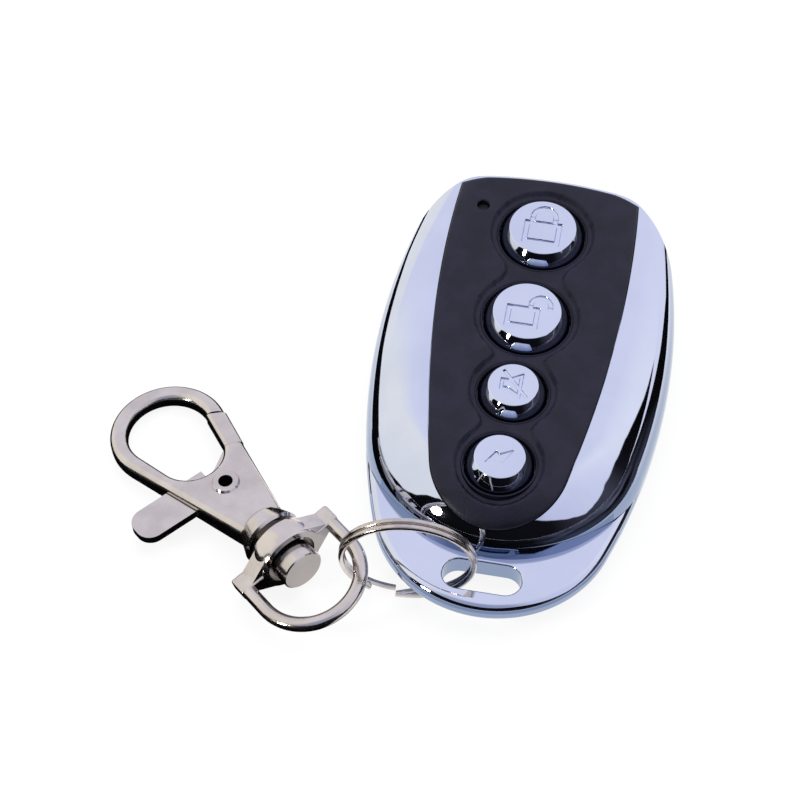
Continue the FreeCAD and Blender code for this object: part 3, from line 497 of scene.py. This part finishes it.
def panel_spots(rim, inward, holes):
    """Points all over the panel, closer together at its edges, and the edges that its triangles keep."""
    spots, edges = list(rim), loop_edges(0, len(rim))
    for step in (0.07, 0.15, 0.26, 0.4):
        spots += [spot + side * step for spot, side in zip(rim, inward)]
    for middle, radius, sides in holes:
        edges += loop_edges(len(spots), sides)
        for step in (0.0, 0.06, 0.13, 0.22):
            spots += [middle + Vector((math.cos(2 * math.pi * k / sides), math.sin(2 * math.pi * k / sides)))
                      * (radius + step) for k in range(sides)]
    grid = [Vector((x * PITCH + (y % 2) * PITCH / 2, y * PITCH * 0.866))
            for y in range(int(-HALF_ALONG / PITCH / 0.8), int(HALF_ALONG / PITCH / 0.8))
            for x in range(int(-HALF_ACROSS / PITCH) - 1, int(HALF_ACROSS / PITCH) + 2)]
    x, y = np.array([spot.x for spot in grid]), np.array([spot.y for spot in grid])
    inside, clear = rim_distance(x, y, rim, inward), hole_distance(x, y, holes)
    spots += [spot for spot, deep, free in zip(grid, inside, clear) if deep > 0.5 and free > 0.3]
    return spots, edges


def plain_height(x, y, holes):
    """The height of the CAD panel's top without its recesses, from rays at and close to each point."""
    source = NODES["button_panel"]
    rows = []
    for shift in ((0.0, 0.0), (0.12, 0.0), (-0.12, 0.0), (0.0, 0.12), (0.0, -0.12)):
        # a little towards the middle, so that the rays at the rim don't miss
        u, v = x * 0.995 + shift[0], (y - 3.0) * 0.997 + 3.0 + shift[1]
        sunk = recess_sign(u, v, CRISP) < 0
        for m, r, _ in holes:
            far = np.maximum(np.hypot(u - m.x, v - m.y), 1e-6)
            push = np.maximum((r + 0.03) / far, 1.0)
            u, v = m.x + (u - m.x) * push, m.y + (v - m.y) * push
        row = []
        for across, along, low in zip(u, v, sunk):
            hit, place, _, _ = source.ray_cast((across * MM, along * MM, 0.05), (0, 0, -1))
            row.append(place.z / MM + (RECESS_DEPTH if low else 0.0) if hit else np.nan)
        rows.append(row)
    return np.nanmedian(np.array(rows), axis=0)


def soft_height(x, y, rim, inward, holes):
    """The height of the soft panel's top: recesses that slope in, and rounded edges."""
    slope = np.clip((0.1 - recess_sign(x, y, NECK_ROUND)) / RECESS_SLOPE, 0, 1)
    edge = np.maximum(rim_distance(x, y, rim, inward), 0)
    brink = np.maximum(hole_distance(x, y, holes), 0)
    fall = np.clip(1 - edge / EDGE_ROUND, 0, 1) ** 2 + np.clip(1 - brink / BRINK_ROUND, 0, 1) ** 2
    return plain_height(x, y, holes) - RECESS_DEPTH * slope * slope * (3 - 2 * slope) - EDGE_FALL * fall


def plate_mesh(name, x, y, top, faces):
    """A closed plate of even thickness below the given top."""
    total = len(top)
    points = [(a * MM, b * MM, c * MM) for a, b, c in zip(x, y, top)]
    points += [(a * MM, b * MM, (c - PLATE_THICK) * MM) for a, b, c in zip(x, y, top)]
    ends = dict.fromkeys((a, b) for face in faces for a, b in zip(face, face[1:] + face[:1]))
    walls = [(b, a, a + total, b + total) for a, b in ends if (b, a) not in ends]
    under = [tuple(k + total for k in reversed(face)) for face in faces]
    mesh = bpy.data.meshes.new(name)
    mesh.from_pydata(points, [], faces + under + walls)
    face_outward(mesh)
    shade_smooth(mesh, 40)
    return mesh


def soft_panel():
    rim, inward = panel_rim()
    holes = panel_holes()
    spots, edges = panel_spots(rim, inward, holes)
    spots, _, faces, *_ = delaunay_2d_cdt(spots, edges, [], 0, 1e-5)
    keep = []
    for face in faces:
        middle = sum((spots[k] for k in face), Vector((0.0, 0.0))) / len(face)
        if all((middle - m).length > r * 0.9995 for m, r, _ in holes):
            keep.append(tuple(face))
    x, y = np.array([spot.x for spot in spots]), np.array([spot.y for spot in spots])
    mesh = plate_mesh("soft_panel", x, y, soft_height(x, y, rim, inward, holes), keep)
    panel = new_object("soft_panel", mesh, MATERIALS["panel_black"])
    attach(panel, "fob")
    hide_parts("button_panel")


soft_panel()

LIP_LOW, LIP_HIGH = 10.0, 11.9
LIP_INNER, LIP_CROWN, LIP_OUTER = 1.27, 1.37, 1.49


def hole_lips():
    """The panel's thin collars, which line the four holes in the chrome."""
    points, faces = [], []
    sides = 96
    for node, face, *_ in KEYS:
        middle = node_middle(node)
        start = len(points)
        corners = ((face + LIP_INNER, LIP_LOW), (face + LIP_OUTER, LIP_LOW), (face + LIP_OUTER, LIP_HIGH),
                   (face + LIP_CROWN, LIP_HIGH + 0.04), (face + LIP_INNER, LIP_HIGH - 0.06))
        for side in range(sides):
            turn = 2 * math.pi * side / sides
            for radius, height in corners:
                points.append((middle.x + radius * MM * math.cos(turn),
                               middle.y + radius * MM * math.sin(turn), height * MM))
        count = len(corners)
        for side in range(sides):
            here, there = start + side * count, start + (side + 1) % sides * count
            for k in range(count):
                after = (k + 1) % count
                faces.append((here + k, here + after, there + after, there + k))
    mesh = bpy.data.meshes.new("hole_lips")
    mesh.from_pydata(points, [], faces)
    face_outward(mesh)
    lips = new_object("hole_lips", mesh, MATERIALS["panel_black"])
    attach(lips, "fob")


hole_lips()


# the stage: floor, the room that the metal mirrors, lights and camera

def stage_mesh(name, points, faces, material):
    mesh = bpy.data.meshes.new(name)
    mesh.from_pydata(points, [], faces)
    item = new_object(name, mesh, material)
    return item


def only_mirrored(item):
    item.visible_camera = False
    item.visible_diffuse = False
    item.visible_shadow = False


def seen_rays(tree):
    """1 for rays that show the surface itself: from the camera, a mirror or a clear piece."""
    path = tree.add("ShaderNodeLightPath")
    either = tree.math("MAXIMUM", path.outputs["Is Camera Ray"], path.outputs["Is Glossy Ray"])
    return tree.math("MAXIMUM", either, path.outputs["Is Transmission Ray"])


def floor_material():
    material, tree = new_material("floor_paint")
    plain = tree.add("ShaderNodeBsdfDiffuse")
    plain.inputs["Color"].default_value = (0.82, 0.83, 0.85, 1.0)
    glow = tree.add("ShaderNodeEmission")
    glow.inputs["Color"].default_value = (1.0, 1.0, 1.0, 1.0)
    glow.inputs["Strength"].default_value = 1.03
    both = tree.add("ShaderNodeMixShader")
    tree.link(tree.math("MULTIPLY", seen_rays(tree), 0.86), both.inputs[0])
    tree.link(plain.outputs[0], both.inputs[1])
    tree.link(glow.outputs[0], both.inputs[2])
    tree.end(both)
    return material


FLOOR = -0.00004
stage_mesh("floor", [(-3, -3, FLOOR), (3, -3, FLOOR), (3, 3, FLOOR), (-3, 3, FLOOR)],
           [(0, 1, 2, 3)], floor_material())


def round_turn(degrees):
    """A direction round the object, from 0 at -180 degrees to 1 at +180; 0 degrees is its head end."""
    return degrees / 360.0 + 0.5


def by_direction(tree, turn, tints):
    """A colour that depends on the direction; the tints are (degrees, screen colour)."""
    return tree.ramp(turn, [(round_turn(degrees), rgb(*tint)) for degrees, tint in tints])


def glow_material(name, colour_of):
    material, tree = new_material(name)
    glow = tree.add("ShaderNodeEmission")
    glow.inputs["Strength"].default_value = 1.0
    tree.put(glow, Color=colour_of(tree))
    tree.end(glow)
    return material


# how low the soft light round the object comes down, in degrees above the table, by direction
LIGHT_FOOT = ((-180, 27), (-152, 30), (-134, 34), (-127, 25), (-122, 11), (-115, 2), (-107, -6), (0, -6),
              (52, -4), (60, 6), (66, 20), (76, 24), (92, 21), (104, 13), (116, 8), (128, 16), (140, 26),
              (152, 33), (166, 30), (180, 27))
# the colours of that light and of the darkness under it, by direction
LIGHT_TINT = ((-180, (150, 157, 182)), (-150, (168, 173, 194)), (-130, (234, 234, 232)),
              (-62, (240, 239, 233)), (-50, (226, 227, 238)), (-30, (222, 223, 238)),
              (40, (224, 225, 239)), (62, (236, 237, 244)), (90, (224, 225, 239)), (140, (206, 208, 228)),
              (158, (160, 166, 190)), (180, (150, 157, 182)))
DARK_TINT = ((-180, (14, 14, 17)), (-120, (9, 9, 11)), (0, (9, 9, 11)), (64, (7, 7, 8)), (78, (24, 24, 29)),
             (96, (66, 66, 76)), (120, (52, 51, 60)), (140, (17, 17, 21)), (180, (14, 14, 17)))


def room_colour(tree):
    """The studio: a large soft light round the head end and both sides, darkness behind the camera."""
    ray = tree.add("ShaderNodeVectorMath", operation="NORMALIZE")
    tree.link(tree.place(), ray.inputs[0])
    across, along, up = tree.axes(ray.outputs[0])
    turn = tree.turn(across, along)
    height = tree.math("DIVIDE", tree.math("ARCSINE", up), math.pi / 2)
    wobble = tree.math("MULTIPLY", tree.math("SUBTRACT", tree.noise(3.0, 2.0, 0.5, ray.outputs[0]), 0.5), 0.05)
    # the ramp holds the light's foot as a grey: 0 is 10 degrees under the table and 1 is 90 above it
    grey = [(round_turn(a), ((e + 10) / 100.0,) * 3 + (1.0,)) for a, e in LIGHT_FOOT]
    foot = tree.math("SUBTRACT", tree.math("MULTIPLY", tree.ramp(turn, grey), 100.0 / 90.0), 10.0 / 90.0)
    over = tree.math("SUBTRACT", tree.math("ADD", height, wobble), foot)
    light = tree.mix(tree.smooth(height, 0.6, 0.85), by_direction(tree, turn, LIGHT_TINT), rgb(223, 224, 238))
    return tree.mix(tree.smooth(over, -0.012, 0.012), by_direction(tree, turn, DARK_TINT), light)


def room():
    rings, sides, radius = 24, 64, 1.2
    points, faces = [], []
    for ring in range(rings):
        lift = math.radians(90.0 * ring / rings)
        for side in range(sides):
            turn = 2 * math.pi * side / sides
            points.append((radius * math.cos(lift) * math.cos(turn),
                           radius * math.cos(lift) * math.sin(turn), radius * math.sin(lift)))
    points.append((0.0, 0.0, radius))
    for ring in range(rings - 1):
        for side in range(sides):
            after = (side + 1) % sides
            faces.append((ring * sides + side, (ring + 1) * sides + side,
                          (ring + 1) * sides + after, ring * sides + after))
    for side in range(sides):
        faces.append(((rings - 1) * sides + side, len(points) - 1, (rings - 1) * sides + (side + 1) % sides))
    only_mirrored(stage_mesh("room", points, faces, glow_material("room_light", room_colour)))


room()

HOUSING_PLAN = [Vector(vertex.co[:2]) for vertex in NODES["chrome_housing"].data.vertices]


def housing_edge(degrees):
    """A direction seen from above, and the housing's outermost point that way."""
    turn = math.radians(degrees)
    out = Vector((math.sin(turn), math.cos(turn)))
    return out, max(HOUSING_PLAN, key=out.dot)


def band(name, near, far, height, material):
    """A flat band on the table round the housing; near and far say how wide it is in each direction."""
    sides = 120
    points = []
    for reach in (near, far):
        for side in range(sides):
            turn = 360.0 * side / sides - 180.0
            out, edge = housing_edge(turn)
            spot = edge + out * reach(turn) * MM
            points.append((spot.x, spot.y, height))
    faces = []
    for side in range(sides):
        after = (side + 1) % sides
        faces.append((side, after, sides + after, sides + side))
    only_mirrored(stage_mesh(name, points, faces, material))


def between(stops):
    """A number that depends on the direction, straight from stop to stop."""
    def value(turn):
        return float(np.interp(turn, [stop[0] for stop in stops], [stop[1] for stop in stops]))
    return value


CLOTH_TINT = ((-180, (12, 12, 14)), (70, (8, 8, 9)), (84, (70, 71, 84)), (110, (120, 122, 140)),
              (140, (96, 98, 116)), (158, (24, 24, 28)), (180, (12, 12, 14)))
# where the dark cloth and the far table start and end, in mm from the housing, by direction
CLOTH_START = between(((-180, 13), (-100, 9), (-62, 7), (0, 8), (60, 11), (110, 13), (180, 13)))
CLOTH_END = between(((-180, 900), (-116, 900), (-104, 60), (-85, 19), (-62, 12), (0, 12), (45, 14), (60, 20),
                     (70, 45), (76, 900), (180, 900)))
TABLE_START = between(((-180, 14), (180, 14)))
TABLE_END = between(((-180, 1100), (180, 1100)))


def cloth_colour(tree):
    place = tree.place()
    axes = tree.axes(place)
    shade = by_direction(tree, tree.turn(axes[0], axes[1]), CLOTH_TINT)
    return tree.mix(tree.smooth(tree.noise(30.0, 3.0, 0.5, place), 0.3, 0.7), shade, rgb(10, 10, 12))


def table_colour(tree):
    side = tree.smooth(tree.axes(tree.place())[0], -0.02, 0.02)
    return tree.mix(side, rgb(238, 237, 233), rgb(226, 227, 240))


def card_colour(tree):
    return tree.mix(tree.noise(60.0), rgb(226, 230, 240), rgb(206, 212, 226))


band("table_far", TABLE_START, TABLE_END, 0.0001, glow_material("table_light", table_colour))
band("dark_cloth", CLOTH_START, CLOTH_END, 0.0002, glow_material("cloth_shade", cloth_colour))

CARD_GAP = 3.0
CARD_HEIGHT = 4.3


def low_card():
    """A low pale card round the tail, which its thin edge mirrors."""
    steps, points = 60, []
    for step in range(steps + 1):
        out, edge = housing_edge(105.0 + 150.0 * step / steps)
        spot = edge + out * CARD_GAP * MM
        points += [(spot.x, spot.y, 0.0), (spot.x, spot.y, CARD_HEIGHT * MM)]
    faces = [(2 * k, 2 * k + 2, 2 * k + 3, 2 * k + 1) for k in range(steps)]
    only_mirrored(stage_mesh("low_card", points, faces, glow_material("card_paint", card_colour)))


low_card()


def lamp(name, direction, distance, across, along, power, colour, glossy=True):
    data = bpy.data.lights.new(name, "AREA")
    data.shape = "ELLIPSE"
    data.size = across
    data.size_y = along
    data.energy = power
    data.color = colour
    item = bpy.data.objects.new(name, data)
    direction = Vector(direction).normalized()
    item.location = direction * distance
    item.rotation_euler = direction.to_track_quat("Z", "Y").to_euler()
    item.visible_glossy = glossy
    item.visible_camera = False
    SCENE.collection.objects.link(item)


lamp("overhead", (0.15, 0.45, 1.0), 0.9, 1.3, 1.3, 12.0, (0.95, 0.96, 1.0), glossy=False)
lamp("key", (-0.66, -0.42, 0.62), 0.8, 0.2, 0.2, 2.4, (1.0, 0.97, 0.93), glossy=False)
lamp("strip", (-0.63, -0.73, 0.23), 0.8, 0.11, 0.2, 1.7, (1.0, 0.98, 0.96))

world = bpy.data.worlds.new("white_room")
SCENE.world = world
world.use_nodes = True
world_tree = Tree(world.node_tree)
sky = world_tree.add("ShaderNodeBackground")
sky.inputs["Color"].default_value = (1.0, 1.0, 1.0, 1.0)
world_tree.put(sky, Strength=world_tree.math("MAXIMUM", seen_rays(world_tree), 0.25))
world_tree.end(sky, "ShaderNodeOutputWorld")

# the camera that was fitted to the photograph
camera = bpy.data.cameras.new("camera")
camera.lens = 108.0
camera.sensor_width = 36.0
camera.clip_start = 0.01
camera_item = bpy.data.objects.new("camera", camera)
camera_item.location = Vector((15.787, -167.307, 251.632)) * MM
camera_item.rotation_euler = Vector((0.1002, -0.5512, 0.8284)).to_track_quat("Z", "Y").to_euler()
SCENE.collection.objects.link(camera_item)
SCENE.camera = camera_item
SCENE.view_settings.view_transform = "Standard"
